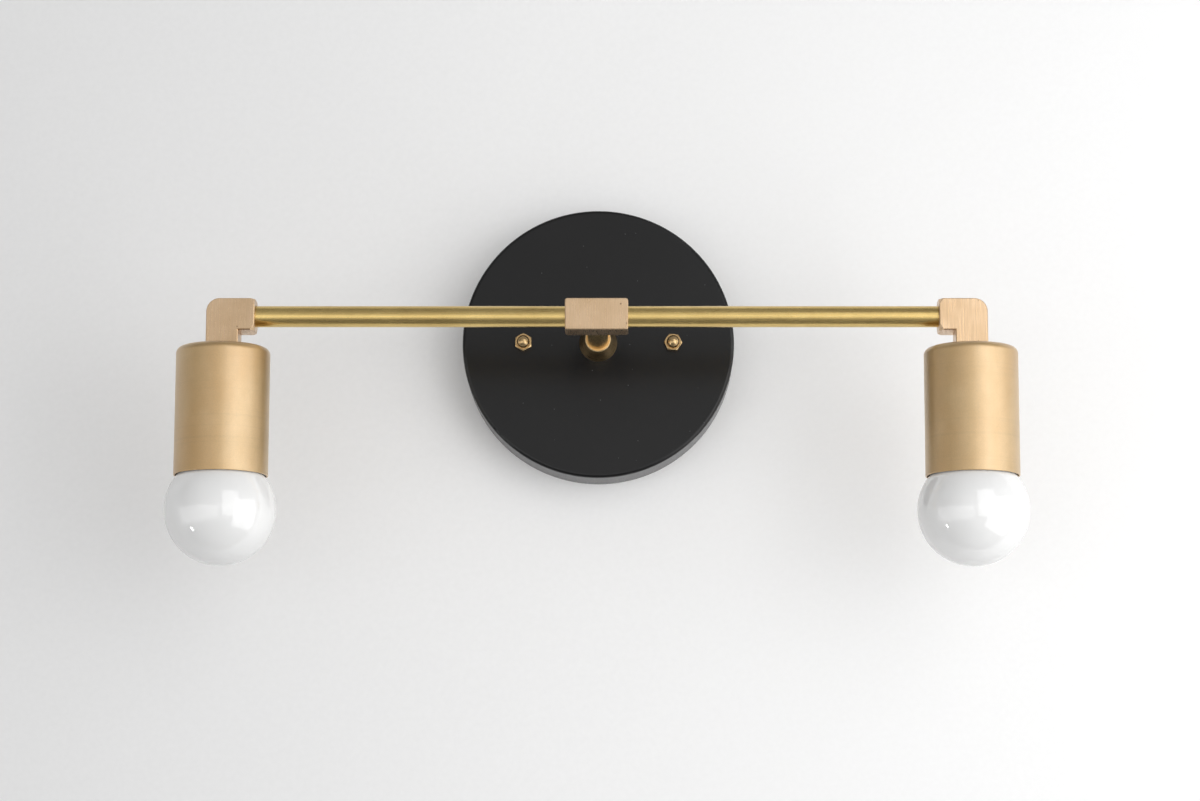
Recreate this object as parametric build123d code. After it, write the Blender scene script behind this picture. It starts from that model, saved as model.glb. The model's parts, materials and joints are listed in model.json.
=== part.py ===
from build123d import *
import math
import os

# Two-lamp vanity wall light, in millimetres.
# X runs along the arms, Y points into the wall and Z is up. The origin is the middle of the
# mounting strap's back face, which lies on the wall plane together with the canopy's rim.

# Canopy and its wall fixing
CANOPY_DIAMETER = 127.0
CANOPY_DEPTH = 22.2
CANOPY_WALL = 1.0
CANOPY_EDGE_RADIUS = 1.6
STRAP_WIDTH = 26.0
STRAP_THICKNESS = 2.0
STRAP_CORNER_RADIUS = 6.5
STRAP_END_MARGIN = 4.25
BOX_SLOT_LENGTH = 8.6
BOX_SLOT_WIDTH = 4.6
SLOT_BEYOND_STUD = 9.525
STUD_SPACING = 69.85
STUD_DIAMETER = 4.17
STUD_PITCH = 0.79375
STUD_THREAD_DEPTH = 0.48
STUD_REACH = 3.7
STUD_LOCKNUT_FLATS = 8.73
STUD_LOCKNUT_HEIGHT = 3.2

# Two-piece cap nuts on the studs
NUT_CHAMFER_ANGLE = 30.0
CAP_NUT_FLATS = 7.4
CAP_HEX_HEIGHT = 3.4
CAP_DOME_DIAMETER = 6.0
CAP_DOME_HEIGHT = 3.9
CAP_RECESS_GAP = 0.35
CAP_RECESS_DEPTH = 0.5
CAP_NUT_LEFT_ANGLE = 90.0
CAP_NUT_RIGHT_ANGLE = -5.0

# Pipe, block and elbows
LAMP_SPACING = 333.7
PIPE_DIAMETER = 9.5
PIPE_BORE = 6.4
PIPE_GRIP = 6.5
PASSAGE_BORE = 7.0
PIPE_LOCKNUT_FLATS = 14.3
PIPE_LOCKNUT_HEIGHT = 3.0
LOCK_WASHER_DIAMETER = 15.5
LOCK_WASHER_THICKNESS = 0.8
LOCK_WASHER_TEETH = 10
LOCK_WASHER_TOOTH_DEPTH = 1.6
LOCK_WASHER_NOTCH_WIDTH = 1.2
STEM_EXPOSED = 58.0
STEM_TAIL = 3.0
STEM_HOLE_FLOOR = 0.4
BAR_SIZE = 14.3
BLOCK_WIDTH = 28.2
BLOCK_CORNER_RADIUS = 1.2
BAR_EDGE_CHAMFER = 0.4
ELBOW_LENGTH = 21.5
ELBOW_DROP = 21.5
ELBOW_CORNER_RADIUS = 6.0
ELBOW_INLET_FLAT_RADIUS = 8.0
COLLAR_BASE_DIAMETER = 17.7
COLLAR_LIP_DIAMETER = 12.4
COLLAR_NECK_DIAMETER = 11.2
COLLAR_BASE_HEIGHT = 1.0
COLLAR_HEIGHT = 11.0
COLLAR_LIP_HEIGHT = 2.6
COLLAR_GROOVE_DIAMETER = 10.4
COLLAR_GROOVE_WIDTH = 0.5

# Socket cups
CUP_DIAMETER = 41.9
CUP_WALL = 0.7
CUP_SHOULDER_RADIUS = 3.0
CUP_RIM_RADIUS = 0.3
CUP_RIM_GAP = 0.65

# Lamp holders
HOLDER_CAP_DIAMETER = 30.0
HOLDER_CAP_WALL = 3.0
HOLDER_CAP_GRIP = 4.4
WIRING_SPACE = 6.2
HOLDER_WALL = 3.3
HOLDER_FLOOR = 5.5
HOLDER_CAVITY_DEPTH = 27.0
SCREW_SHELL_WALL = 1.1
SCREW_SHELL_RECESS = 0.5
CONTACT_THICKNESS = 0.5
CONTACT_WIDTH = 7.0
CONTACT_DROP = 3.05
CONTACT_GAP = 0.2
RIVET_OFFSET = 7.0
RIVET_DIAMETER = 2.4
RIVET_HEAD_DIAMETER = 4.2
RIVET_HEAD_HEIGHT = 0.6
RIVET_RECESS = 3.0
CAP_SCREW_OFFSET = 9.6
CAP_SCREW_DIAMETER = 2.5
CAP_SCREW_HEAD_DIAMETER = 4.4
CAP_SCREW_HEAD_HEIGHT = 1.6
CAP_SCREW_GRIP = 4.0

# Globe bulbs with a medium screw base
GLOBE_DIAMETER = 49.6
GLASS_WALL = 0.8
NECK_BLEND_RADIUS = 6.0
NECK_INSERT = 5.0
BULB_LENGTH = 74.8
TIP_DIAMETER = 9.6
TIP_HEIGHT = 1.4
INSULATOR_HEIGHT = 3.2
INSULATOR_SEAT_DIAMETER = 18.0
INSULATOR_FLANGE_HEIGHT = 1.4
BASE_SHELL_LENGTH = 19.8
BASE_SHELL_WALL = 0.5
BASE_CORE_DIAMETER = 24.7
THREAD_PITCH = 3.629
THREAD_BEAD_RADIUS = 0.8
THREAD_CLEARANCE = 0.3
THREAD_BASE_MARGIN = 3.1
BASE_THREAD_TURNS = 4.0
HOLDER_THREAD_TURNS = 3.0
MOUNT_DISC_DIAMETER = 17.0
MOUNT_DISC_THICKNESS = 0.8
MOUNT_STEM_DIAMETER = 4.0
FILAMENT_COUNT = 4
FILAMENT_DIAMETER = 1.6
FILAMENT_LENGTH = 24.0
FILAMENT_CIRCLE_DIAMETER = 13.0

# Wiring inside the tubes and the canopy
LEAD_DIAMETER = 1.8
LEAD_SPREAD = 1.05
LEAD_HOLE_GAP = 0.3
LEAD_BEND_RADIUS = 3.5
TEE_BEND_RADIUS = 4.0
TERMINAL_LENGTH = 18.0
TERMINAL_HEIGHT = 11.0
TERMINAL_LOCKNUT_GAP = 1.4
TERMINAL_PITCH = 8.4
TERMINAL_MARGIN = 4.3
TERMINAL_AXIS_HEIGHT = 4.6
CLAMP_WALL = 0.7
CLAMP_SCREW_DIAMETER = 2.6
CLAMP_SCREW_SPACING = 10.0
SCREW_SLOT_WIDTH = 0.6
SCREW_SLOT_DEPTH = 0.7
FIXING_SCREW_DIAMETER = 2.2
FIXING_HEAD_DIAMETER = 3.8
FIXING_HEAD_HEIGHT = 1.8
GROUND_OFFSET = 18.0
GROUND_SCREW_DIAMETER = 4.0
GROUND_HEAD_DIAMETER = 7.8
GROUND_HEAD_HEIGHT = 2.2
LUG_DIAMETER = 8.0
LUG_THICKNESS = 0.8
LUG_BARREL_DIAMETER = 3.0
LUG_BARREL_LENGTH = 4.0

# Gap all round between pieces that are screwed or fitted into each other
FIT_GAP = 0.05

# Places worked out from the sizes above
BOX_SLOT_SPACING = STUD_SPACING + 2 * SLOT_BEYOND_STUD
STRAP_LENGTH = BOX_SLOT_SPACING + BOX_SLOT_LENGTH + 2 * STRAP_END_MARGIN
CANOPY_INSIDE = CANOPY_DEPTH - CANOPY_WALL
CAP_DOME_SEAT = CAP_HEX_HEIGHT - CAP_RECESS_DEPTH
STEM_BACK = CANOPY_INSIDE - LOCK_WASHER_THICKNESS - PIPE_LOCKNUT_HEIGHT - STEM_TAIL
ARM_Y = -(CANOPY_DEPTH + STEM_EXPOSED + BAR_SIZE / 2)
LAMP_X = LAMP_SPACING / 2
ARM_EXPOSED = LAMP_X + BAR_SIZE / 2 - ELBOW_LENGTH - BLOCK_WIDTH / 2
PIPE_HOLE_RADIUS = PIPE_DIAMETER / 2 + FIT_GAP
STEM_GRIP = (BAR_SIZE - PASSAGE_BORE) / 2 - STEM_HOLE_FLOOR

CUP_TOP = BAR_SIZE / 2 - ELBOW_DROP
CUP_CEILING = CUP_TOP - CUP_WALL
HOLDER_CAP_TOP = CUP_CEILING - PIPE_LOCKNUT_HEIGHT
NIPPLE_BOTTOM = HOLDER_CAP_TOP - HOLDER_CAP_GRIP
HOLDER_TOP = NIPPLE_BOTTOM - WIRING_SPACE
HOLDER_CEILING = HOLDER_TOP - HOLDER_FLOOR
HOLDER_BOTTOM = HOLDER_CEILING - HOLDER_CAVITY_DEPTH
BULB_TIP = HOLDER_CEILING - CONTACT_DROP
BASE_SHELL_TOP = BULB_TIP - TIP_HEIGHT - INSULATOR_HEIGHT
BASE_SHELL_BOTTOM = BASE_SHELL_TOP - BASE_SHELL_LENGTH
GLOBE_RADIUS = GLOBE_DIAMETER / 2
GLOBE_Z = BULB_TIP - BULB_LENGTH + GLOBE_RADIUS
CUP_INNER_RADIUS = CUP_DIAMETER / 2 - CUP_WALL
RIM_GLOBE_RADIUS = min(CUP_INNER_RADIUS - CUP_RIM_GAP, GLOBE_RADIUS)
CUP_RIM = GLOBE_Z + math.sqrt(GLOBE_RADIUS ** 2 - RIM_GLOBE_RADIUS ** 2)

BASE_CORE_RADIUS = BASE_CORE_DIAMETER / 2
BASE_BORE_RADIUS = BASE_CORE_RADIUS - BASE_SHELL_WALL
SCREW_SHELL_BORE_RADIUS = BASE_CORE_RADIUS + THREAD_BEAD_RADIUS + THREAD_CLEARANCE
SCREW_SHELL_RADIUS = SCREW_SHELL_BORE_RADIUS + SCREW_SHELL_WALL
HOLDER_CAVITY_RADIUS = SCREW_SHELL_RADIUS + FIT_GAP
HOLDER_RADIUS = HOLDER_CAVITY_RADIUS + HOLDER_WALL
NECK_RADIUS = BASE_BORE_RADIUS - FIT_GAP
THREAD_START = BASE_SHELL_BOTTOM + THREAD_BASE_MARGIN
RIVET_TOP = HOLDER_TOP - RIVET_RECESS

STUD_LOCKNUT_RADIUS = STUD_LOCKNUT_FLATS / math.sqrt(3)
TERMINAL_OUTER_END = STUD_SPACING / 2 - STUD_LOCKNUT_RADIUS - TERMINAL_LOCKNUT_GAP
TERMINAL_OFFSET = TERMINAL_OUTER_END - TERMINAL_LENGTH / 2
CLAMP_BORE_RADIUS = LEAD_DIAMETER + FIT_GAP
CLAMP_RADIUS = CLAMP_BORE_RADIUS + CLAMP_WALL
TERMINAL_AXIS = STRAP_THICKNESS + TERMINAL_AXIS_HEIGHT
TERMINAL_FRONT = STRAP_THICKNESS + TERMINAL_HEIGHT
FIXING_SEAT = TERMINAL_FRONT - FIXING_HEAD_HEIGHT - FIT_GAP
LUG_BARREL_AXIS = STRAP_THICKNESS + LUG_BARREL_DIAMETER / 2 + FIT_GAP

# In this frame x runs across the wall, y is up and z comes out from the wall.
WALL = Plane(origin=(0, 0, 0), x_dir=(1, 0, 0), z_dir=(0, -1, 0))


def on_wall(shape, across=0.0, up=0.0, out=0.0):
    return WALL.location * Pos(across, up, out) * shape


def at_lamp(shape, side):
    """Place a piece made about a lamp's axis, with its +X side outward, on one arm's end."""
    turn = 0 if side > 0 else 180
    return Pos(side * LAMP_X, ARM_Y, 0) * Rot(0, 0, turn) * shape


def rod(radius, bottom, top):
    upward = (Align.CENTER, Align.CENTER, Align.MIN)
    return Pos(0, 0, bottom) * Cylinder(radius, top - bottom, align=upward)


def tube(radius, bore_radius, bottom, top):
    return rod(radius, bottom, top) - rod(bore_radius, bottom, top)


def turned(*edges):
    """Revolve a closed outline, given in radius and height, about Z."""
    return revolve(Plane.XZ * make_face(edges), Axis.Z)


def hexagon(flats, bore_radius, bottom, top, angle=0.0):
    outline = RegularPolygon(flats / 2, 6, major_radius=False, rotation=angle)
    return Pos(0, 0, bottom) * extrude(outline, top - bottom) - rod(bore_radius, bottom, top)


def along_x(shape, start, height=0.0):
    """Turn a piece made along +Z to run along +X from a start point."""
    return Pos(start, 0, height) * Rot(0, 90, 0) * shape


def slotted(screw, top):
    size = 2 * screw.bounding_box().size.X
    groove = Box(size, SCREW_SLOT_WIDTH, 2 * SCREW_SLOT_DEPTH)
    return screw - Pos(0, 0, top) * groove


def lead(points, radii):
    path = FilletPolyline(*points, radius=radii)
    section = Plane(origin=path @ 0, z_dir=path % 0) * Circle(LEAD_DIAMETER / 2)
    return sweep(section, path=path)


def thread_bead(radius, start, turns):
    """A round bead wound as a right-hand helix about Z."""
    path = Helix(pitch=THREAD_PITCH, height=THREAD_PITCH * turns, radius=radius)
    section = Plane(origin=path @ 0, z_dir=path % 0) * Circle(THREAD_BEAD_RADIUS)
    return Pos(0, 0, start) * sweep(section, path=path, is_frenet=True)


def canopy():
    pan = rod(CANOPY_DIAMETER / 2, 0, CANOPY_DEPTH)
    pan = fillet(pan.edges().group_by(Axis.Z)[-1], CANOPY_EDGE_RADIUS)
    hollow = rod(CANOPY_DIAMETER / 2 - CANOPY_WALL, 0, CANOPY_INSIDE)
    hollow = fillet(hollow.edges().group_by(Axis.Z)[-1], CANOPY_EDGE_RADIUS - CANOPY_WALL)
    pan -= hollow
    pan -= rod(PIPE_HOLE_RADIUS, 0, CANOPY_DEPTH)
    for side in (-1, 1):
        pan -= Pos(side * STUD_SPACING / 2, 0, 0) * rod(STUD_DIAMETER / 2 + 2 * FIT_GAP, 0, CANOPY_DEPTH)
    return on_wall(pan)


def mounting_strap():
    strap = extrude(RectangleRounded(STRAP_LENGTH, STRAP_WIDTH, STRAP_CORNER_RADIUS), STRAP_THICKNESS)
    slot = extrude(SlotOverall(BOX_SLOT_LENGTH, BOX_SLOT_WIDTH), STRAP_THICKNESS)
    stud_hole = rod(STUD_DIAMETER / 2 + FIT_GAP, 0, STRAP_THICKNESS)
    for side in (-1, 1):
        strap -= Pos(side * BOX_SLOT_SPACING / 2, 0, 0) * slot
        strap -= Pos(side * STUD_SPACING / 2, 0, 0) * stud_hole
    strap -= rod(PIPE_HOLE_RADIUS, 0, STRAP_THICKNESS)
    strap -= Pos(GROUND_OFFSET, 0, 0) * rod(GROUND_SCREW_DIAMETER / 2 + FIT_GAP, 0, STRAP_THICKNESS)
    fixing_hole = rod(FIXING_SCREW_DIAMETER / 2 + FIT_GAP, 0, STRAP_THICKNESS)
    strap -= Pos(-TERMINAL_OFFSET, TERMINAL_PITCH / 2, 0) * fixing_hole
    return on_wall(strap)


def stud(side):
    top = CANOPY_DEPTH + STUD_REACH
    core = STUD_DIAMETER / 2
    depth = STUD_THREAD_DEPTH
    shaft = rod(core, 0, top)
    ring = turned(Polyline((core, -depth), (core - depth, 0), (core, depth), close=True))
    crests = int((STUD_REACH - STUD_PITCH) / STUD_PITCH)
    for crest in range(crests):
        shaft -= Pos(0, 0, top - (crest + 1) * STUD_PITCH) * ring
    return on_wall(shaft, across=side * STUD_SPACING / 2)


def stud_locknut(side):
    top = STRAP_THICKNESS + STUD_LOCKNUT_HEIGHT
    nut = hexagon(STUD_LOCKNUT_FLATS, STUD_DIAMETER / 2 + FIT_GAP, STRAP_THICKNESS, top)
    return on_wall(nut, across=side * STUD_SPACING / 2)


def cap_nut_hex(side, angle):
    """Hexagon of a cap nut, its front corners turned off as on any nut, with a recess for the dome."""
    corner = CAP_NUT_FLATS / math.sqrt(3)
    fall = (corner - CAP_NUT_FLATS / 2) * math.tan(math.radians(NUT_CHAMFER_ANGLE))
    nut = hexagon(CAP_NUT_FLATS, STUD_DIAMETER / 2 + 2 * FIT_GAP, 0, CAP_HEX_HEIGHT, angle)
    nut &= turned(Polyline((0, 0), (corner, 0), (corner, CAP_HEX_HEIGHT - fall),
                           (CAP_NUT_FLATS / 2, CAP_HEX_HEIGHT), (0, CAP_HEX_HEIGHT), close=True))
    nut -= rod(CAP_DOME_DIAMETER / 2 + CAP_RECESS_GAP, CAP_DOME_SEAT, CAP_HEX_HEIGHT)
    return on_wall(nut, across=side * STUD_SPACING / 2, out=CANOPY_DEPTH)


def cap_nut_dome(side):
    """Closed dome of a cap nut, seated in the hexagon's recess with a gap all round."""
    radius = CAP_DOME_DIAMETER / 2
    shoulder = CAP_DOME_HEIGHT - radius
    bore_depth = STUD_REACH - CAP_DOME_SEAT + STUD_PITCH
    sides = Polyline((0, 0), (radius, 0), (radius, shoulder))
    crown = CenterArc((0, shoulder), radius, 0, 90)
    dome = turned(*sides.edges(), crown, Line((0, CAP_DOME_HEIGHT), (0, 0)))
    dome -= rod(STUD_DIAMETER / 2 + 2 * FIT_GAP, 0, bore_depth)
    return on_wall(dome, across=side * STUD_SPACING / 2, out=CANOPY_DEPTH + CAP_DOME_SEAT)


def stem_tube():
    front = CANOPY_DEPTH + STEM_EXPOSED + STEM_GRIP
    return on_wall(tube(PIPE_DIAMETER / 2, PIPE_BORE / 2, STEM_BACK, front))


def stem_lockwasher():
    washer = tube(LOCK_WASHER_DIAMETER / 2, PIPE_HOLE_RADIUS, 0, LOCK_WASHER_THICKNESS)
    notch = Box(2 * LOCK_WASHER_TOOTH_DEPTH, LOCK_WASHER_NOTCH_WIDTH, 4 * LOCK_WASHER_THICKNESS)
    washer -= PolarLocations(LOCK_WASHER_DIAMETER / 2, LOCK_WASHER_TEETH) * notch
    return on_wall(washer, out=CANOPY_INSIDE - LOCK_WASHER_THICKNESS)


def stem_locknut():
    top = CANOPY_INSIDE - LOCK_WASHER_THICKNESS
    return on_wall(hexagon(PIPE_LOCKNUT_FLATS, PIPE_HOLE_RADIUS, top - PIPE_LOCKNUT_HEIGHT, top))


def stem_collar():
    base = COLLAR_BASE_DIAMETER / 2
    neck = COLLAR_NECK_DIAMETER / 2
    lip = COLLAR_LIP_DIAMETER / 2
    lip_start = COLLAR_HEIGHT - COLLAR_LIP_HEIGHT
    sides = Polyline((neck, COLLAR_HEIGHT), (PIPE_HOLE_RADIUS, COLLAR_HEIGHT), (PIPE_HOLE_RADIUS, 0),
                     (base, 0), (base, COLLAR_BASE_HEIGHT), (neck, lip_start))
    bead = ThreePointArc((neck, lip_start), (lip, (lip_start + COLLAR_HEIGHT) / 2), (neck, COLLAR_HEIGHT))
    middle = COLLAR_GROOVE_DIAMETER / 2
    half = COLLAR_GROOVE_WIDTH / 2
    groove = turned(Polyline((middle - half, COLLAR_HEIGHT), (middle, COLLAR_HEIGHT - half),
                             (middle + half, COLLAR_HEIGHT), close=True))
    return on_wall(turned(*sides.edges(), bead) - groove, out=CANOPY_DEPTH)


def chamfer_bar_ends(body):
    """Break the edges round the front and back faces of a piece cut from square bar."""
    front = body.faces().sort_by(Axis.Y)[0]
    back = body.faces().sort_by(Axis.Y)[-1]
    return chamfer(front.edges() + back.edges(), BAR_EDGE_CHAMFER)


def tee_block():
    outline = Plane.XZ * RectangleRounded(BLOCK_WIDTH, BAR_SIZE, BLOCK_CORNER_RADIUS)
    block = chamfer_bar_ends(extrude(outline, BAR_SIZE / 2, both=True))
    block -= along_x(rod(PASSAGE_BORE / 2, 0, BLOCK_WIDTH), -BLOCK_WIDTH / 2)
    arm_hole = rod(PIPE_HOLE_RADIUS, 0, PIPE_GRIP)
    block -= along_x(arm_hole, -BLOCK_WIDTH / 2)
    block -= along_x(arm_hole, BLOCK_WIDTH / 2 - PIPE_GRIP)
    to_wall = Plane(origin=(0, 0, 0), z_dir=(0, 1, 0)).location
    block -= to_wall * rod(PIPE_BORE / 2, 0, BAR_SIZE)
    block -= to_wall * rod(PIPE_HOLE_RADIUS, BAR_SIZE / 2 - STEM_GRIP, BAR_SIZE)
    return Pos(0, ARM_Y, 0) * block


def arm_tube(side):
    start = BLOCK_WIDTH / 2 - PIPE_GRIP
    arm = tube(PIPE_DIAMETER / 2, PIPE_BORE / 2, 0, ARM_EXPOSED + 2 * PIPE_GRIP)
    direction = Plane(origin=(side * start, ARM_Y, 0), z_dir=(side, 0, 0))
    return direction.location * arm


def elbow(side):
    half = BAR_SIZE / 2
    inlet = half - ELBOW_LENGTH
    outline = Polyline((inlet, half), (half, half), (half, CUP_TOP), (-half, CUP_TOP),
                       (-half, -half), (inlet, -half), close=True)
    face = make_face(outline)
    outer_corner = face.vertices().group_by(Axis.X)[-1].sort_by(Axis.Y)[-1]
    face = fillet(outer_corner, ELBOW_CORNER_RADIUS)
    body = chamfer_bar_ends(extrude(Plane.XZ * face, half, both=True))
    reach = BAR_SIZE
    lathe_cut = turned(Polyline((ELBOW_INLET_FLAT_RADIUS, 0), (reach, 0),
                                (reach, reach - ELBOW_INLET_FLAT_RADIUS), close=True))
    body -= along_x(lathe_cut, inlet)
    body -= along_x(rod(PIPE_HOLE_RADIUS, 0, PIPE_GRIP), inlet)
    body -= along_x(rod(PASSAGE_BORE / 2, 0, PASSAGE_BORE / 2 - inlet), inlet)
    body -= rod(PIPE_HOLE_RADIUS, CUP_TOP, CUP_TOP + PIPE_GRIP)
    body -= rod(PIPE_BORE / 2, CUP_TOP, PIPE_BORE / 2)
    return at_lamp(body, side)


def cup_nipple(side):
    return at_lamp(tube(PIPE_DIAMETER / 2, PIPE_BORE / 2, NIPPLE_BOTTOM, CUP_TOP + PIPE_GRIP), side)


def cup_locknut(side):
    return at_lamp(hexagon(PIPE_LOCKNUT_FLATS, PIPE_HOLE_RADIUS, HOLDER_CAP_TOP, CUP_CEILING), side)


def socket_cup(side):
    cup = rod(CUP_DIAMETER / 2, CUP_RIM, CUP_TOP)
    cup = fillet(cup.edges().group_by(Axis.Z)[-1], CUP_SHOULDER_RADIUS)
    cup = fillet(cup.edges().group_by(Axis.Z)[0], CUP_RIM_RADIUS)
    hollow = rod(CUP_INNER_RADIUS, CUP_RIM, CUP_CEILING)
    hollow = fillet(hollow.edges().group_by(Axis.Z)[-1], CUP_SHOULDER_RADIUS - CUP_WALL)
    cup -= hollow
    cup -= rod(PIPE_HOLE_RADIUS, CUP_CEILING, CUP_TOP)
    return at_lamp(cup, side)


def cap_screw_holes(bottom, top):
    hole = rod(CAP_SCREW_DIAMETER / 2 + FIT_GAP, bottom, top)
    return Pos(0, CAP_SCREW_OFFSET, 0) * hole + Pos(0, -CAP_SCREW_OFFSET, 0) * hole


def holder_cap(side):
    radius = HOLDER_CAP_DIAMETER / 2
    cap = rod(radius, HOLDER_TOP, HOLDER_CAP_TOP)
    cap -= rod(radius - HOLDER_CAP_WALL, HOLDER_TOP, NIPPLE_BOTTOM)
    cap -= rod(PIPE_HOLE_RADIUS, NIPPLE_BOTTOM, HOLDER_CAP_TOP)
    cap -= cap_screw_holes(HOLDER_TOP, HOLDER_CAP_TOP)
    return at_lamp(cap, side)


def cap_screws(side):
    bottom = HOLDER_TOP - CAP_SCREW_GRIP
    top = HOLDER_CAP_TOP + CAP_SCREW_HEAD_HEIGHT
    screw = rod(CAP_SCREW_DIAMETER / 2, bottom, HOLDER_CAP_TOP)
    screw += rod(CAP_SCREW_HEAD_DIAMETER / 2, HOLDER_CAP_TOP, top)
    screw = slotted(screw, top)
    pair = [at_lamp(Pos(0, y, 0) * screw, side) for y in (-CAP_SCREW_OFFSET, CAP_SCREW_OFFSET)]
    return Compound(children=pair)


def holder_body(side):
    body = rod(HOLDER_RADIUS, HOLDER_BOTTOM, HOLDER_TOP)
    body -= rod(HOLDER_CAVITY_RADIUS, HOLDER_BOTTOM, HOLDER_CEILING)
    body -= cap_screw_holes(HOLDER_TOP - CAP_SCREW_GRIP, HOLDER_TOP)
    lead_hole = rod(LEAD_DIAMETER / 2 + LEAD_HOLE_GAP, RIVET_TOP, HOLDER_TOP)
    rivet_hole = rod(RIVET_DIAMETER / 2 + FIT_GAP, HOLDER_CEILING, RIVET_TOP)
    for x in (-RIVET_OFFSET, RIVET_OFFSET):
        body -= Pos(x, 0, 0) * (lead_hole + rivet_hole)
    return at_lamp(body, side)


def holder_rivets(side):
    under_strip = HOLDER_CEILING - CONTACT_THICKNESS
    rivet = rod(RIVET_DIAMETER / 2, under_strip, RIVET_TOP)
    rivet += rod(RIVET_HEAD_DIAMETER / 2, under_strip - RIVET_HEAD_HEIGHT, under_strip)
    pair = [at_lamp(Pos(x, 0, 0) * rivet, side) for x in (-RIVET_OFFSET, RIVET_OFFSET)]
    return Compound(children=pair)


def screw_shell(side):
    """Threaded shell of the holder, with a riveted tab across part of its closed end."""
    bottom = HOLDER_BOTTOM + SCREW_SHELL_RECESS
    bead = thread_bead(SCREW_SHELL_BORE_RADIUS, THREAD_START + THREAD_PITCH / 2, HOLDER_THREAD_TURNS)
    shell = tube(SCREW_SHELL_RADIUS, SCREW_SHELL_BORE_RADIUS, bottom, HOLDER_CEILING) + bead
    shell &= rod(SCREW_SHELL_RADIUS, bottom, HOLDER_CEILING)
    inner_end = RIVET_OFFSET - RIVET_HEAD_DIAMETER / 2
    tab_length = SCREW_SHELL_BORE_RADIUS + SCREW_SHELL_WALL / 2 - inner_end
    tab = Box(tab_length, CONTACT_WIDTH, CONTACT_THICKNESS, align=(Align.MAX, Align.CENTER, Align.MAX))
    tab = Pos(-inner_end, 0, HOLDER_CEILING) * tab
    tab -= Pos(-RIVET_OFFSET, 0, 0) * rod(RIVET_DIAMETER / 2 + FIT_GAP, bottom, HOLDER_CEILING)
    return at_lamp(shell + tab, side)


def centre_contact(side):
    """Sprung strip from its rivet to just above the bulb's tip."""
    half = CONTACT_THICKNESS / 2
    low = BULB_TIP + CONTACT_GAP + half
    high = HOLDER_CEILING - half
    outer_end = RIVET_OFFSET + RIVET_HEAD_DIAMETER / 2
    bend = RIVET_OFFSET - RIVET_HEAD_DIAMETER / 2
    line = Polyline((outer_end, high), (bend, high), (TIP_DIAMETER / 4, low), (-TIP_DIAMETER / 4, low))
    strip = extrude(Plane.XZ * trace(line, CONTACT_THICKNESS), CONTACT_WIDTH / 2, both=True)
    strip -= Pos(RIVET_OFFSET, 0, 0) * rod(RIVET_DIAMETER / 2 + FIT_GAP, low, HOLDER_CEILING)
    return at_lamp(strip, side)


def glass_outline(inset):
    """Globe and neck outline, moved inward by an inset, from the open neck to the globe's foot."""
    ball = GLOBE_RADIUS - inset
    neck = NECK_RADIUS - inset
    blend = NECK_BLEND_RADIUS + inset
    rise = math.sqrt((ball + blend) ** 2 - (neck + blend) ** 2)
    share = ball / (ball + blend)
    join = ((neck + blend) * share, GLOBE_Z + rise * share)
    blend_middle = math.radians(180 + math.degrees(math.atan2(rise, neck + blend)) / 2)
    blend_point = (neck + blend + blend * math.cos(blend_middle),
                   GLOBE_Z + rise + blend * math.sin(blend_middle))
    ball_middle = (math.atan2(join[1] - GLOBE_Z, join[0]) - math.pi / 2) / 2
    ball_point = (ball * math.cos(ball_middle), GLOBE_Z + ball * math.sin(ball_middle))
    neck_end = BASE_SHELL_BOTTOM + NECK_INSERT
    foot = (0, GLOBE_Z - ball)
    return [Line((0, neck_end), (neck, neck_end)),
            Line((neck, neck_end), (neck, GLOBE_Z + rise)),
            ThreePointArc((neck, GLOBE_Z + rise), blend_point, join),
            ThreePointArc(join, ball_point, foot),
            Line(foot, (0, neck_end))]


def bulb_globe(side):
    return at_lamp(turned(*glass_outline(0)) - turned(*glass_outline(GLASS_WALL)), side)


def bulb_shell(side):
    """Threaded shell of the bulb's base, closed at its top down to the insulator's seat."""
    shell = rod(BASE_CORE_RADIUS, BASE_SHELL_BOTTOM, BASE_SHELL_TOP)
    shell += thread_bead(BASE_CORE_RADIUS, THREAD_START, BASE_THREAD_TURNS)
    shell -= rod(BASE_BORE_RADIUS, BASE_SHELL_BOTTOM, BASE_SHELL_TOP - BASE_SHELL_WALL)
    shell -= rod(INSULATOR_SEAT_DIAMETER / 2 + FIT_GAP, BASE_SHELL_BOTTOM, BASE_SHELL_TOP)
    return at_lamp(shell, side)


def bulb_insulator(side):
    seat = INSULATOR_SEAT_DIAMETER / 2
    under_shell = BASE_SHELL_TOP - BASE_SHELL_WALL
    flange = BASE_BORE_RADIUS - FIT_GAP
    foot = under_shell - INSULATOR_FLANGE_HEIGHT
    outline = Polyline((0, foot), (flange, foot), (flange, under_shell), (seat, under_shell),
                       (seat, BASE_SHELL_TOP), (TIP_DIAMETER / 2, BULB_TIP - TIP_HEIGHT),
                       (0, BULB_TIP - TIP_HEIGHT), close=True)
    return at_lamp(turned(outline), side)


def bulb_tip(side):
    tip = rod(TIP_DIAMETER / 2, BULB_TIP - TIP_HEIGHT, BULB_TIP)
    tip = fillet(tip.edges().group_by(Axis.Z)[-1], TIP_HEIGHT / 2)
    return at_lamp(tip, side)


def filament_mount(side):
    """Glass stem from the insulator to the globe's middle, with the discs that hold the filaments."""
    stem_top = BASE_SHELL_TOP - BASE_SHELL_WALL - INSULATOR_FLANGE_HEIGHT
    lower = GLOBE_Z - FILAMENT_LENGTH / 2
    upper = GLOBE_Z + FILAMENT_LENGTH / 2
    mount = rod(MOUNT_STEM_DIAMETER / 2, lower - MOUNT_DISC_THICKNESS, stem_top)
    mount += rod(MOUNT_DISC_DIAMETER / 2, lower - MOUNT_DISC_THICKNESS, lower)
    mount += rod(MOUNT_DISC_DIAMETER / 2, upper, upper + MOUNT_DISC_THICKNESS)
    return at_lamp(mount, side)


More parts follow.
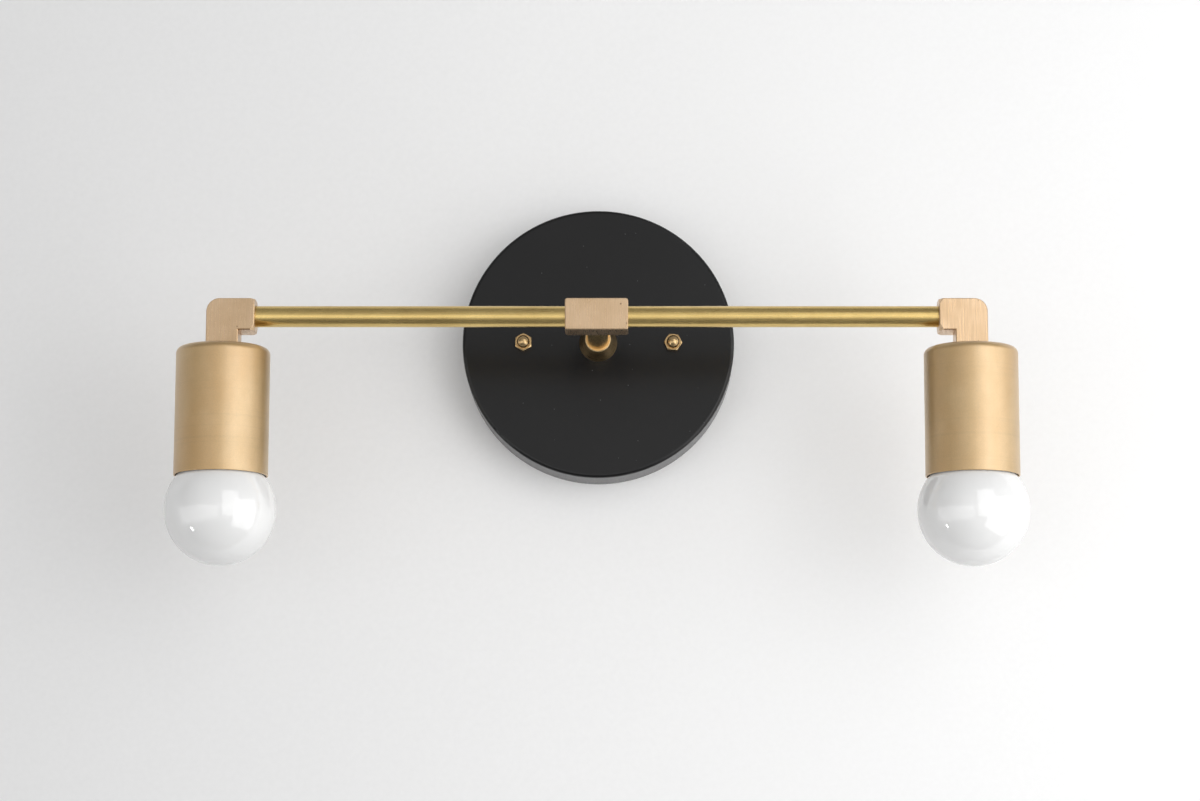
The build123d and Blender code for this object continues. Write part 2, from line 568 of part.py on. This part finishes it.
def led_filaments(side):
    strip = rod(FILAMENT_DIAMETER / 2, GLOBE_Z - FILAMENT_LENGTH / 2, GLOBE_Z + FILAMENT_LENGTH / 2)
    spots = PolarLocations(FILAMENT_CIRCLE_DIAMETER / 2, FILAMENT_COUNT)
    return Compound(children=[at_lamp(spot * strip, side) for spot in spots])


def terminal_poles(shape):
    """One copy of a shape made along +Z for each pole, laid along X through the block."""
    start = -TERMINAL_OFFSET - TERMINAL_LENGTH / 2
    laid = along_x(shape, start, TERMINAL_AXIS)
    return [Pos(0, up, 0) * laid for up in (-TERMINAL_PITCH, 0, TERMINAL_PITCH)]


def clamp_screw_places():
    spots = []
    for up in (-TERMINAL_PITCH, 0, TERMINAL_PITCH):
        for side in (-1, 1):
            spots.append(Pos(-TERMINAL_OFFSET + side * CLAMP_SCREW_SPACING / 2, up, 0))
    return spots


def terminal_block():
    width = 2 * (TERMINAL_PITCH + TERMINAL_MARGIN)
    base = (Align.CENTER, Align.CENTER, Align.MIN)
    block = Box(TERMINAL_LENGTH, width, TERMINAL_HEIGHT, align=base)
    block = Pos(-TERMINAL_OFFSET, 0, STRAP_THICKNESS) * block
    for hole in terminal_poles(rod(CLAMP_RADIUS + FIT_GAP, 0, TERMINAL_LENGTH)):
        block -= hole
    screw_hole = rod(CLAMP_SCREW_DIAMETER / 2 + 2 * FIT_GAP, TERMINAL_AXIS, TERMINAL_FRONT)
    for spot in clamp_screw_places():
        block -= spot * screw_hole
    fixing = rod(FIXING_SCREW_DIAMETER / 2 + FIT_GAP, STRAP_THICKNESS, TERMINAL_FRONT)
    fixing += rod(FIXING_HEAD_DIAMETER / 2 + FIT_GAP, FIXING_SEAT, TERMINAL_FRONT)
    block -= Pos(-TERMINAL_OFFSET, TERMINAL_PITCH / 2, 0) * fixing
    return on_wall(block)


def terminal_clamps():
    clamps = []
    screw_hole = rod(CLAMP_SCREW_DIAMETER / 2 + FIT_GAP, TERMINAL_AXIS, TERMINAL_FRONT)
    for clamp in terminal_poles(tube(CLAMP_RADIUS, CLAMP_BORE_RADIUS, 0, TERMINAL_LENGTH)):
        for spot in clamp_screw_places():
            clamp -= spot * screw_hole
        clamps.append(on_wall(clamp))
    return Compound(children=clamps)


def terminal_screws():
    bottom = TERMINAL_AXIS + CLAMP_BORE_RADIUS
    top = TERMINAL_FRONT - SCREW_SLOT_DEPTH
    screw = slotted(rod(CLAMP_SCREW_DIAMETER / 2, bottom, top), top)
    return Compound(children=[on_wall(spot * screw) for spot in clamp_screw_places()])


def terminal_fixing_screw():
    top = FIXING_SEAT + FIXING_HEAD_HEIGHT
    screw = rod(FIXING_SCREW_DIAMETER / 2, 0, FIXING_SEAT)
    screw += rod(FIXING_HEAD_DIAMETER / 2, FIXING_SEAT, top)
    return on_wall(slotted(screw, top), across=-TERMINAL_OFFSET, up=TERMINAL_PITCH / 2)


def ground_screw():
    seat = STRAP_THICKNESS + LUG_THICKNESS
    screw = rod(GROUND_SCREW_DIAMETER / 2, 0, seat)
    screw += rod(GROUND_HEAD_DIAMETER / 2, seat, seat + GROUND_HEAD_HEIGHT)
    return on_wall(slotted(screw, seat + GROUND_HEAD_HEIGHT), across=GROUND_OFFSET)


def ground_lug():
    """Ring under the ground screw, joined to the crimped barrel of the ground lead."""
    barrel_radius = LUG_BARREL_DIAMETER / 2
    barrel_end = GROUND_OFFSET - LUG_DIAMETER / 2
    lug = rod(LUG_DIAMETER / 2, STRAP_THICKNESS, STRAP_THICKNESS + LUG_THICKNESS)
    lug = Pos(GROUND_OFFSET, 0, 0) * lug
    tongue_length = LUG_DIAMETER / 2 + LUG_BARREL_LENGTH
    flat = (Align.MAX, Align.CENTER, Align.MIN)
    tongue = Box(tongue_length, LUG_BARREL_DIAMETER, LUG_THICKNESS, align=flat)
    lug += Pos(GROUND_OFFSET, 0, STRAP_THICKNESS) * tongue
    lug += along_x(rod(barrel_radius, 0, LUG_BARREL_LENGTH), barrel_end - LUG_BARREL_LENGTH, LUG_BARREL_AXIS)
    lead_hole = rod(LEAD_DIAMETER / 2 + FIT_GAP, 0, LUG_BARREL_LENGTH)
    lug -= along_x(lead_hole, barrel_end - LUG_BARREL_LENGTH, LUG_BARREL_AXIS)
    shank_hole = rod(GROUND_SCREW_DIAMETER / 2 + FIT_GAP, 0, STRAP_THICKNESS + LUG_THICKNESS)
    lug -= Pos(GROUND_OFFSET, 0, 0) * shank_hole
    return on_wall(lug)


def ground_lead():
    start = GROUND_OFFSET - LUG_DIAMETER / 2
    entry = -TERMINAL_OFFSET + TERMINAL_LENGTH / 2
    points = [(start, 0, LUG_BARREL_AXIS), (0, 0, LUG_BARREL_AXIS),
              (entry + LEAD_BEND_RADIUS, 0, TERMINAL_AXIS), (-TERMINAL_OFFSET, 0, TERMINAL_AXIS)]
    return on_wall(lead(points, [LEAD_BEND_RADIUS, LEAD_BEND_RADIUS]))


def lamp_lead(side, pole):
    """One lead from its holder rivet through the elbow, arm, block and stem to its terminal.

    The live lead (pole 1) runs on the outside of each bend and the neutral (pole -1) inside it.
    """
    spread = pole * LEAD_SPREAD
    lamp = side * LAMP_X
    rivet_x = lamp + side * pole * RIVET_OFFSET
    nipple_x = lamp + side * spread
    stem_x = side * LEAD_SPREAD
    bend_foot = NIPPLE_BOTTOM - LEAD_SPREAD / 2
    spread_foot = HOLDER_TOP + LEAD_BEND_RADIUS / 2
    entry = -TERMINAL_OFFSET + TERMINAL_LENGTH / 2 + LEAD_BEND_RADIUS
    stack = TERMINAL_AXIS - side * LEAD_DIAMETER / 2
    turn_out = stack + (LEAD_BEND_RADIUS / 2 if side < 0 else 0)
    points = [(rivet_x, ARM_Y, RIVET_TOP), (rivet_x, ARM_Y, spread_foot), (nipple_x, ARM_Y, bend_foot),
              (nipple_x, ARM_Y, spread), (stem_x, ARM_Y, spread), (stem_x, -turn_out, spread),
              (entry, -stack, pole * TERMINAL_PITCH), (-TERMINAL_OFFSET, -stack, pole * TERMINAL_PITCH)]
    elbow_bend = LEAD_BEND_RADIUS + LEAD_SPREAD + spread
    radii = [LEAD_BEND_RADIUS, LEAD_BEND_RADIUS, elbow_bend, TEE_BEND_RADIUS,
             LEAD_BEND_RADIUS, LEAD_BEND_RADIUS]
    return lead(points, radii)


def save(name, shape):
    export_step(shape, f"parts/{name}.step")


os.makedirs("parts", exist_ok=True)

save("canopy", canopy())
save("mounting_strap", mounting_strap())
save("canopy_studs", Compound(children=[stud(-1), stud(1)]))
save("stud_locknuts", Compound(children=[stud_locknut(-1), stud_locknut(1)]))
save("ground_screw", ground_screw())
save("ground_lug", ground_lug())
save("ground_lead", ground_lead())
save("terminal_block", terminal_block())
save("terminal_clamps", terminal_clamps())
save("terminal_screws", terminal_screws())
save("terminal_fixing_screw", terminal_fixing_screw())
save("stem_lockwasher", stem_lockwasher())
save("stem_locknut", stem_locknut())
save("stem_collar", stem_collar())
save("stem_tube", stem_tube())
save("tee_block", tee_block())
save("cap_nut_hex_left", cap_nut_hex(-1, CAP_NUT_LEFT_ANGLE))
save("cap_nut_hex_right", cap_nut_hex(1, CAP_NUT_RIGHT_ANGLE))

paired_pieces = [cap_nut_dome, arm_tube, elbow, cup_nipple, cup_locknut, socket_cup, holder_cap,
                 cap_screws, holder_body, holder_rivets, screw_shell, centre_contact, bulb_globe,
                 bulb_shell, bulb_insulator, bulb_tip, filament_mount, led_filaments]
for side, word in ((-1, "left"), (1, "right")):
    for piece in paired_pieces:
        save(f"{piece.__name__}_{word}", piece(side))
    save(f"live_lead_{word}", lamp_lead(side, 1))
    save(f"neutral_lead_{word}", lamp_lead(side, -1))
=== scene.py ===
import json
import math

import bpy
from mathutils import Matrix, Vector

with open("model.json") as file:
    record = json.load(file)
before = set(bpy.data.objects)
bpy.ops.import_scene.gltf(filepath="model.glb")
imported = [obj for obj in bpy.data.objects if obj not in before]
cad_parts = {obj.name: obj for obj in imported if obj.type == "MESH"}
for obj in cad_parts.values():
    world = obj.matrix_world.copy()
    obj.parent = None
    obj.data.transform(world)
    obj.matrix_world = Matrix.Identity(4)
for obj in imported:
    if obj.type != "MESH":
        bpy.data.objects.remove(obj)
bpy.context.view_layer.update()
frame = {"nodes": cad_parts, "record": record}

# Camera, fitted to the photograph's edges at 1200 x 801 pixels
IMAGE_WIDTH = 1200
FOCAL_PIXELS = 3201.0
SENSOR_MM = 36.0
CAMERA_PLACE = Vector((0.01641, -1.49338, -0.27159))
CAMERA_PITCH = math.radians(9.432)
CAMERA_YAW = math.radians(-0.605)
CAMERA_ROLL = math.radians(0.117)

# Wall and floor round the light, in metres
WALL_GAP = 0.0005
WALL_RADIUS = 4.0
WALL_OPENING_RADIUS = 0.058
WALL_STEPS = 96
# The X range, in metres, over which the wall is painted paler to the right, a painted light
WALL_PAINTED_LIGHT_FADE = (-1 / 3, 1 / 3)
WALL_GLOW = 0.12
FLOOR_LEVEL = -1.1
FLOOR_HALF_SIZE = 9.0
# Radii, in metres, over which the floor's painted shade patch fades into the pale floor
FLOOR_SHADE_PATCH_FADE = (1.2, 3.0)
FLOOR_GLOW = 0.3

# Softboxes aimed at the object's centre: place and size in metres, power in watts
OBJECT_CENTRE = Vector((0.0, -0.05, -0.03))
SOFTBOXES = {
    "key": {"place": (1.1, -0.75, -0.35), "size": (1.3, 1.5), "power": 9.4},
    "front": {"place": (0.95, -2.05, 0.25), "size": (1.4, 2.2), "power": 11.5},
    "fill": {"place": (-1.5, -1.7, -0.6), "size": (4.0, 1.3), "power": 11},
    "sparkle": {"place": (-1.2, -0.55, -0.92), "size": (0.1, 0.16), "power": 0.9},
}

# Room light as (place, brightness) stops, from straight below to straight above and from -X to +X
ROOM_BY_HEIGHT = (
    (0.0, 0.10), (0.25, 0.12), (0.40, 0.5), (0.46, 1.0), (0.53, 1.0),
    (0.58, 0.68), (0.66, 0.6), (0.74, 0.5), (0.88, 0.38), (1.0, 0.3),
)
ROOM_BY_SIDE = ((0.0, 0.75), (0.012, 0.7), (0.03, 0.32), (0.1, 0.42), (0.25, 0.87), (0.36, 1.0))

# Where the collar turns from its cone to its lip, which carries a painted highlight, along Y in metres
COLLAR_LIP_HIGHLIGHT_FADE = (-0.0302, -0.0308)

# The part of a speck's radius that has its full strength
SPECK_CORE = 0.7

# Sockets of a Mix node that blends colours
MIX_FACTOR, MIX_FIRST, MIX_SECOND, MIX_RESULT = 0, 6, 7, 2


def srgb(red, green, blue):
    """Turn a screen colour, 0 to 255, into the linear colour that a shader takes."""
    def linear(value):
        value /= 255
        return value / 12.92 if value <= 0.04045 else ((value + 0.055) / 1.055) ** 2.4
    return (linear(red), linear(green), linear(blue), 1.0)


class Tree:
    """A node tree with short ways to add and join its nodes."""

    def __init__(self, tree):
        self.tree = tree

    def node(self, kind, **settings):
        made = self.tree.nodes.new(kind)
        for name, value in settings.items():
            setattr(made, name, value)
        return made

    def link(self, source, target):
        self.tree.links.new(source, target)

    def give(self, socket, value):
        """Set an input to a fixed value, or make it follow an output."""
        if isinstance(value, bpy.types.NodeSocket):
            self.link(value, socket)
        else:
            socket.default_value = value

    def combine(self, operation, first, second):
        made = self.node("ShaderNodeMath", operation=operation)
        self.give(made.inputs[0], first)
        self.give(made.inputs[1], second)
        return made.outputs[0]

    def along(self, point, axis):
        """One coordinate of a point."""
        split = self.node("ShaderNodeSeparateXYZ")
        self.link(point, split.inputs[0])
        return split.outputs[axis]

    def fade(self, source, start, end):
        """0 where a value is at the start or before it, rising to 1 at the end."""
        made = self.node("ShaderNodeMapRange")
        made.inputs["From Min"].default_value = start
        made.inputs["From Max"].default_value = end
        self.link(source, made.inputs["Value"])
        return made.outputs["Result"]

    def ramp(self, source, *stops):
        """A colour ramp from (position, colour) stops. A plain number stands for a grey."""
        made = self.node("ShaderNodeValToRGB")
        elements = made.color_ramp.elements
        while len(elements) < len(stops):
            elements.new(0.5)
        for element, (position, colour) in zip(elements, stops):
            element.position = position
            element.color = (colour, colour, colour, 1.0) if isinstance(colour, float) else colour
        self.link(source, made.inputs["Fac"])
        return made.outputs["Color"]

    def mix(self, factor, first, second, blend="MIX"):
        """Blend two colours. Each is an output to follow or a fixed colour."""
        made = self.node("ShaderNodeMix", data_type="RGBA", blend_type=blend)
        self.give(made.inputs[MIX_FACTOR], factor)
        self.give(made.inputs[MIX_FIRST], first)
        self.give(made.inputs[MIX_SECOND], second)
        return made.outputs[MIX_RESULT]

    def tint(self, colour, painted_light_tone):
        """Multiply one colour by another."""
        return self.mix(1.0, colour, painted_light_tone, "MULTIPLY")


class Surface(Tree):
    """A material with one principled shader, and helpers that add procedural detail to it."""

    def __init__(self, name, **values):
        self.material = bpy.data.materials.new(name)
        self.material.use_nodes = True
        super().__init__(self.material.node_tree)
        self.shader = self.tree.nodes["Principled BSDF"]
        self.colour = None
        for socket, value in values.items():
            self.shader.inputs[socket.replace("_", " ")].default_value = value

    def place(self, per_metre=1.0):
        """The point on the object, in steps of a number per metre along all axes or along each."""
        coordinates = self.node("ShaderNodeTexCoord")
        mapping = self.node("ShaderNodeMapping")
        steps = per_metre if isinstance(per_metre, tuple) else (per_metre,) * 3
        mapping.inputs["Scale"].default_value = steps
        self.link(coordinates.outputs["Object"], mapping.inputs["Vector"])
        return mapping.outputs["Vector"]

    def noise(self, per_metre, detail=3.0, roughness=0.5):
        texture = self.node("ShaderNodeTexNoise")
        texture.inputs["Scale"].default_value = 1.0
        texture.inputs["Detail"].default_value = detail
        texture.inputs["Roughness"].default_value = roughness
        self.link(self.place(per_metre), texture.inputs["Vector"])
        return texture.outputs["Fac"]

    def specks(self, per_metre, radius):
        """1 on small round specks, else 0. The radius is a share of the mean distance between specks."""
        cells = self.node("ShaderNodeTexVoronoi")
        cells.inputs["Scale"].default_value = 1.0
        self.link(self.place(per_metre), cells.inputs["Vector"])
        return self.ramp(cells.outputs["Distance"], (SPECK_CORE * radius, 1.0), (radius, 0.0))

    def feed(self, socket, source):
        self.link(source, self.shader.inputs[socket])

    def paint(self, colour):
        """Feed the base colour, and keep it so that marks can be laid over it."""
        self.colour = colour
        self.feed("Base Color", colour)

    def bump(self, height, depth, strength=1.0):
        """Raise the surface by a height map. Depth is in metres."""
        made = self.node("ShaderNodeBump")
        made.inputs["Strength"].default_value = strength
        made.inputs["Distance"].default_value = depth
        self.link(height, made.inputs["Height"])
        self.feed("Normal", made.outputs["Normal"])


def powder_coat():
    """Black powder coat with a fine orange peel and a few paler dust specks."""
    coat = Surface("black_powder_coat", Specular_IOR_Level=0.12, Coat_Weight=0.5, Coat_Roughness=0.21)
    peel = coat.noise(900, detail=4.0, roughness=0.6)
    cloud = coat.noise(35, detail=2.0)
    coat.paint(coat.ramp(cloud, (0.3, srgb(10, 10, 11)), (0.7, srgb(14, 14, 15))))
    dust = coat.specks(200, radius=0.045)
    coat.paint(coat.mix(dust, coat.colour, srgb(84, 84, 86)))
    coat.feed("Roughness", coat.ramp(peel, (0.3, 0.3), (0.7, 0.4)))
    coat.bump(peel, depth=0.00006, strength=0.6)
    return coat


def brass(name, light, dark, rough, streaks, shade, depth, polish=0.07, **values):
    """Brass with a slow tarnish cloud and fine streaks.

    The shade is the tone of the darkest streaks, and polish is how far they change the roughness.
    """
    metal = Surface(name, Metallic=1.0, **values)
    tarnish = metal.noise(60, detail=4.0, roughness=0.6)
    lines = metal.noise(streaks, detail=2.0, roughness=0.7)
    colour = metal.ramp(tarnish, (0.3, dark), (0.65, light))
    metal.paint(metal.tint(colour, metal.ramp(lines, (0.3, shade), (0.7, 1.0))))
    metal.feed("Roughness", metal.ramp(lines, (0.25, rough + polish), (0.75, rough - polish)))
    metal.bump(lines, depth=depth)
    return metal


def tube_brass():
    """Drawn pipe, its faint lines lengthwise."""
    return brass("brass_tube", light=(0.74, 0.545, 0.215, 1), dark=(0.64, 0.46, 0.175, 1), rough=0.28,
                 streaks=(60, 3000, 3000), shade=0.94, depth=0.000003)


def block_brass():
    """Sawn and brushed bar, its lines upright, with a few small pits."""
    bar = brass("brass_block", light=(0.735, 0.53, 0.34, 1), dark=(0.65, 0.455, 0.275, 1), rough=0.3,
                streaks=(1800, 150, 60), shade=0.84, depth=0.00001)
    pits = bar.specks(150, radius=0.06)
    bar.paint(bar.mix(pits, bar.colour, (0.25, 0.16, 0.09, 1)))
    return bar


def cup_brass():
    """Satin lacquered brass with faint turning marks, fine grain and warm patina blotches."""
    cup = brass("brass_cup", light=(0.72, 0.47, 0.19, 1), dark=(0.64, 0.41, 0.15, 1), rough=0.56,
                streaks=(1500, 1500, 25), shade=0.97, depth=0.000002, polish=0.02,
                Coat_Weight=1.0, Coat_Roughness=0.35, Coat_IOR=2.1)
    cup.shader.distribution = "GGX"
    blotches = cup.noise((26, 26, 18), detail=4.0, roughness=0.6)
    patina = cup.ramp(blotches, (0.42, 0.0), (0.62, 0.7))
    cup.paint(cup.mix(patina, cup.colour, (0.61, 0.345, 0.09, 1)))
    turning = cup.noise((6, 6, 800), detail=1.0)
    cup.paint(cup.tint(cup.colour, cup.ramp(turning, (0.6, 1.0), (0.75, 0.95))))
    grain = cup.noise(2600, detail=1.0)
    cup.paint(cup.tint(cup.colour, cup.ramp(grain, (0.3, 0.9), (0.7, 1.0))))
    return cup


def collar_brass():
    """Darker brass cone whose lip, at the front, is painted brighter as a painted highlight."""
    collar = brass("brass_collar", light=(0.70, 0.51, 0.27, 1), dark=(0.57, 0.40, 0.20, 1), rough=0.3,
                   streaks=(60, 4000, 60), shade=0.86, depth=0.00001)
    # Painted highlight: from here on along Y the lip is painted a brighter gold, standing in for the
    # light it catches
    painted_lip_highlight = collar.fade(collar.along(collar.place(), "Y"), *COLLAR_LIP_HIGHLIGHT_FADE)
    collar.paint(collar.mix(painted_lip_highlight, collar.colour, (0.95, 0.69, 0.37, 1)))
    return collar


def nut_brass():
    """Turned nuts, their fine lines round the stud."""
    return brass("brass_nut", light=(0.68, 0.48, 0.25, 1), dark=(0.54, 0.37, 0.18, 1), rough=0.24,
                 streaks=(90, 4000, 90), shade=0.86, depth=0.000006)


def hardware_brass():
    """Plain small brass parts inside the light."""
    return brass("brass_hardware", light=(0.74, 0.55, 0.28, 1), dark=(0.60, 0.43, 0.21, 1), rough=0.3,
                 streaks=900, shade=0.86, depth=0.000008)


def opal_glass():
    """Glossy opal glass, very faintly uneven, with smudges that dull its shine."""
    glass = Surface("opal_glass", IOR=1.85)
    cloud = glass.noise(45, detail=2.0)
    glass.paint(glass.ramp(cloud, (0.3, (0.875, 0.875, 0.87, 1)), (0.7, (0.905, 0.905, 0.9, 1))))
    smudge = glass.noise(110, detail=4.0, roughness=0.6)
    glass.feed("Roughness", glass.ramp(smudge, (0.45, 0.03), (0.75, 0.1)))
    ripple = glass.noise(90, detail=1.0)
    glass.bump(ripple, depth=0.00012, strength=0.3)
    return glass


def plated(name, light, dark, rough):
    """Plated or tinned metal with faint spangle and rub marks."""
    metal = Surface(name, Metallic=1.0)
    spangle = metal.noise(700)
    metal.paint(metal.ramp(spangle, (0.3, dark), (0.7, light)))
    metal.feed("Roughness", metal.ramp(spangle, (0.3, rough + 0.1), (0.7, rough)))
    metal.bump(spangle, depth=0.00002)
    return metal


def moulded(name, light, dark, rough, grain=1500):
    """Moulded plastic, glass or insulation with a fine skin texture."""
    plastic = Surface(name)
    skin = plastic.noise(grain)
    cloud = plastic.noise(120, detail=2.0)
    plastic.paint(plastic.ramp(cloud, (0.3, dark), (0.7, light)))
    plastic.feed("Roughness", plastic.ramp(skin, (0.3, rough + 0.08), (0.7, rough - 0.05)))
    plastic.bump(skin, depth=0.00002)
    return plastic


def make_materials():
    """One finish for each material slot of the record."""
    made = [
        powder_coat(),
        tube_brass(),
        block_brass(),
        cup_brass(),
        collar_brass(),
        nut_brass(),
        hardware_brass(),
        plated("zinc_steel", (0.66, 0.66, 0.64, 1), (0.54, 0.54, 0.53, 1), 0.32),
        plated("green_screw", (0.05, 0.30, 0.09, 1), (0.03, 0.20, 0.06, 1), 0.35),
        plated("tinned_lug", (0.74, 0.74, 0.72, 1), (0.64, 0.64, 0.63, 1), 0.3),
        moulded("white_plastic", (0.84, 0.83, 0.79, 1), (0.78, 0.77, 0.73, 1), 0.42),
        moulded("phenolic", (0.026, 0.024, 0.023, 1), (0.018, 0.017, 0.016, 1), 0.38),
        opal_glass(),
        moulded("clear_glass", (0.84, 0.87, 0.85, 1), (0.80, 0.83, 0.81, 1), 0.12, grain=300),
        plated("bulb_base_metal", (0.78, 0.77, 0.74, 1), (0.66, 0.65, 0.63, 1), 0.24),
        moulded("bulb_insulator", (0.014, 0.014, 0.016, 1), (0.010, 0.010, 0.012, 1), 0.14, grain=500),
        moulded("filament_phosphor", (0.88, 0.64, 0.13, 1), (0.82, 0.56, 0.10, 1), 0.5),
        moulded("black_insulation", (0.022, 0.022, 0.022, 1), (0.015, 0.015, 0.015, 1), 0.4),
        moulded("white_insulation", (0.82, 0.82, 0.79, 1), (0.76, 0.76, 0.73, 1), 0.4),
        moulded("green_insulation", (0.05, 0.30, 0.09, 1), (0.035, 0.24, 0.07, 1), 0.4),
    ]
    return {surface.material.name: surface.material for surface in made}


def dress_nodes():
    """Give every CAD node its finish in place of the plain colour that it came with."""
    for plain in list(bpy.data.materials):
        bpy.data.materials.remove(plain)
    materials = make_materials()
    for part in frame["record"]["subparts"]:
        mesh = frame["nodes"][part["node"]].data
        mesh.materials.clear()
        mesh.materials.append(materials[part["material_slot"]])


def add_camera():
    level_right = Vector((math.cos(CAMERA_YAW), -math.sin(CAMERA_YAW), 0.0))
    forward = Vector((math.sin(CAMERA_YAW) * math.cos(CAMERA_PITCH),
                      math.cos(CAMERA_YAW) * math.cos(CAMERA_PITCH), math.sin(CAMERA_PITCH)))
    level_up = level_right.cross(forward)
    right = math.cos(CAMERA_ROLL) * level_right + math.sin(CAMERA_ROLL) * level_up
    up = math.cos(CAMERA_ROLL) * level_up - math.sin(CAMERA_ROLL) * level_right
    data = bpy.data.cameras.new("photo_view")
    data.sensor_width = SENSOR_MM
    data.lens = FOCAL_PIXELS / IMAGE_WIDTH * SENSOR_MM
    camera = bpy.data.objects.new("photo_view", data)
    turn = Matrix((right, up, -forward)).transposed().to_4x4()
    camera.matrix_world = Matrix.Translation(CAMERA_PLACE) @ turn
    bpy.context.scene.collection.objects.link(camera)
    bpy.context.scene.camera = camera


def add_softbox(name, place, size, power):
    """A rectangular lamp aimed at the object, seen only through its light and reflections."""
    data = bpy.data.lights.new(name, "AREA")
    data.shape = "RECTANGLE"
    data.size, data.size_y = size
    data.energy = power
    lamp = bpy.data.objects.new(name, data)
    lamp.location = place
    lamp.rotation_mode = "QUATERNION"
    lamp.rotation_quaternion = (OBJECT_CENTRE - Vector(place)).to_track_quat("-Z", "Y")
    lamp.visible_camera = False
    bpy.context.scene.collection.objects.link(lamp)


def seen_directly(surface):
    """1 for rays from the camera, from metal and through glass, else 0."""
    path = surface.node("ShaderNodeLightPath")
    either = surface.combine("MAXIMUM", path.outputs["Is Camera Ray"], path.outputs["Is Glossy Ray"])
    return surface.combine("MAXIMUM", either, path.outputs["Is Transmission Ray"])


def glow(paint, colour, strength):
    """Let a surface of the room glow a little, for rays that see it directly."""
    paint.feed("Emission Color", colour)
    paint.feed("Emission Strength", paint.combine("MULTIPLY", seen_directly(paint), strength))


def wall_paint():
    """Pale paint, paler to the right as painted light where more light falls, and clear from behind so
    that the canopy's inside shows there.
    """
    paint = Surface("wall_paint", Roughness=0.9)
    # Painted light: the paint and its glow grow paler towards +X, as if more light fell on the right
    painted_light_across = paint.fade(paint.along(paint.place(), "X"), *WALL_PAINTED_LIGHT_FADE)
    painted_light_tone = paint.ramp(painted_light_across, (0.0, 0.84), (1.0, 1.0))
    roller = paint.ramp(paint.noise(400), (0.3, 0.89), (0.7, 0.91))
    paint.paint(paint.tint(roller, painted_light_tone))
    glow(paint, paint.ramp(painted_light_across, (0.0, 0.4), (0.5, 0.85), (1.0, 1.0)), WALL_GLOW)
    side = paint.node("ShaderNodeNewGeometry")
    clear = paint.node("ShaderNodeBsdfTransparent")
    blend = paint.node("ShaderNodeMixShader")
    paint.link(side.outputs["Backfacing"], blend.inputs[0])
    paint.link(paint.shader.outputs[0], blend.inputs[1])
    paint.link(clear.outputs[0], blend.inputs[2])
    paint.link(blend.outputs[0], paint.tree.nodes["Material Output"].inputs["Surface"])
    return paint.material


def floor_paint():
    """Pale floor with a darker round patch of painted shade under the light, which the metal reflects
    below it.
    """
    paint = Surface("floor_paint", Roughness=0.8)
    distance = paint.node("ShaderNodeVectorMath", operation="LENGTH")
    paint.link(paint.place((1.0, 1.0, 0.0)), distance.inputs[0])
    # Painted shade: the floor is darker within the patch round the point under the light, and glows only
    # beyond it
    away_from_painted_shade = paint.fade(distance.outputs["Value"], *FLOOR_SHADE_PATCH_FADE)
    painted_light_tone = paint.ramp(away_from_painted_shade, (0.0, 0.3), (1.0, 0.84))
    cloud = paint.ramp(paint.noise(3), (0.3, 0.96), (0.7, 1.0))
    paint.paint(paint.tint(painted_light_tone, cloud))
    glow(paint, paint.ramp(away_from_painted_shade, (0.0, 0.0), (1.0, 1.0)), FLOOR_GLOW)
    return paint.material


def add_stage_mesh(name, points, faces, material):
    mesh = bpy.data.meshes.new(name)
    mesh.from_pydata(points, [], faces)
    mesh.materials.append(material)
    piece = bpy.data.objects.new(name, mesh)
    bpy.context.scene.collection.objects.link(piece)


def add_wall():
    """A wall with a round opening behind the canopy, where the outlet box is."""
    points, faces = [], []
    for step in range(WALL_STEPS):
        angle = 2 * math.pi * step / WALL_STEPS
        for radius in (WALL_OPENING_RADIUS, WALL_RADIUS):
            points.append((radius * math.cos(angle), WALL_GAP, radius * math.sin(angle)))
        inner, following = 2 * step, 2 * ((step + 1) % WALL_STEPS)
        faces.append((inner, inner + 1, following + 1, following))
    add_stage_mesh("wall", points, faces, wall_paint())


def add_floor():
    size = FLOOR_HALF_SIZE
    corners = [(-size, -size, FLOOR_LEVEL), (size, -size, FLOOR_LEVEL),
               (size, size, FLOOR_LEVEL), (-size, size, FLOOR_LEVEL)]
    add_stage_mesh("floor", corners, [(0, 1, 2, 3)], floor_paint())


def add_world():
    """Room light that is brightest level with the object and towards the window side, +X."""
    world = bpy.data.worlds.new("studio")
    world.use_nodes = True
    bpy.context.scene.world = world
    room = Tree(world.node_tree)
    direction = room.node("ShaderNodeTexCoord").outputs["Generated"]
    by_height = room.ramp(room.fade(room.along(direction, "Z"), -1.0, 1.0), *ROOM_BY_HEIGHT)
    by_side = room.ramp(room.fade(room.along(direction, "X"), -1.0, 1.0), *ROOM_BY_SIDE)
    room.link(room.tint(by_height, by_side), room.tree.nodes["Background"].inputs["Color"])


dress_nodes()
add_camera()
add_wall()
add_floor()
add_world()
for softbox, settings in SOFTBOXES.items():
    add_softbox(softbox, **settings)
bpy.context.scene.view_settings.view_transform = "Standard"
